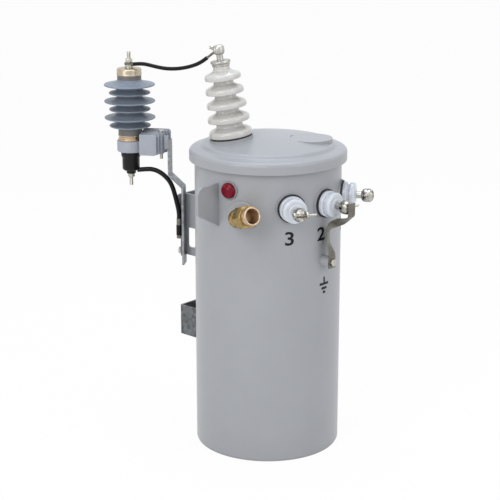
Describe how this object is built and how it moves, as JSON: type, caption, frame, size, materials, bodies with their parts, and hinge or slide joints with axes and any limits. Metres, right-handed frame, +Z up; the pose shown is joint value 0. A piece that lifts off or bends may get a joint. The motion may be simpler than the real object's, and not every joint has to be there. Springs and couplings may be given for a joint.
{
  "type": "pole mounted transformer",
  "caption": "Single-phase transformer tank with a crowned lid, a tilted high-voltage bushing, side low-voltage bushings, pole brackets and a surge arrester on a bar with its leads.",
  "frame": {"origin": "centre of the flat underside of the tank, on the tank's own axis", "axes": "+Z up along the tank's axis; -Y towards the middle low-voltage bushing; +Y towards the pole; +X to the right seen from the bushing side"},
  "size_m": [0.502, 0.6742, 1.0036],
  "materials": {
    "tank_paint": "smooth light grey semi-gloss enamel",
    "gasket_rubber": "matt black gasket rubber",
    "porcelain": "pale grey glazed porcelain",
    "tinned_metal": "dull tin plating over cast metal",
    "plated_steel": "zinc plated fasteners",
    "tinned_copper": "dull tinned copper",
    "galvanised_steel": "weathered hot-dip zinc",
    "polymer_grey": "blue-grey silicone rubber with a dull sheen",
    "bracket_resin": "light grey moulded resin",
    "black_plastic": "black moulded plastic",
    "brass": "machined brass",
    "red_lens": "dark red translucent plastic",
    "pale_plastic": "pale rim",
    "lead_insulation": "black cable insulation"
  },
  "bodies": {
    "root": {"arrester_bar": "galvanised_steel", "arrester_base_ring": "galvanised_steel", "arrester_bracket": "bracket_resin", "arrester_cap": "galvanised_steel", "arrester_housing": "polymer_grey", "arrester_nuts": "plated_steel", "arrester_stud": "plated_steel", "bracket_bolt": "plated_steel", "brass_elbow": "brass", "disconnector": "black_plastic", "disconnector_stud": "plated_steel", "fitting_boss": "tank_paint", "ground_bolt": "plated_steel", "ground_lead": "lead_insulation", "ground_lug": "tinned_copper", "ground_lug_bolt": "plated_steel", "ground_pad": "tank_paint", "ground_strap": "tinned_copper", "hv_cap": "tinned_metal", "hv_clamp": "tinned_metal", "hv_clamp_bolt": "plated_steel", "hv_gasket": "gasket_rubber", "hv_porcelain": "porcelain", "hv_rod": "tinned_metal", "jumper_lead": "lead_insulation", "jumper_lug": "tinned_copper", "jumper_wire": "tinned_copper", "lamp_bezel": "pale_plastic", "lid": "tank_paint", "lid_gasket": "gasket_rubber", "lifting_lug_left": "tank_paint", "lifting_lug_right": "tank_paint", "lower_bracket": "galvanised_steel", "lv_clamp_bolts": "plated_steel", "lv_collars": "tank_paint", "lv_connectors": "tinned_metal", "lv_gaskets": "gasket_rubber", "lv_porcelains": "porcelain", "lv_studs": "tinned_metal", "signal_lamp": "red_lens", "tank_base": "tank_paint", "tank_wall": "tank_paint", "terminal_washer": "plated_steel", "upper_bracket": "tank_paint"}
  },
  "joints": []
}
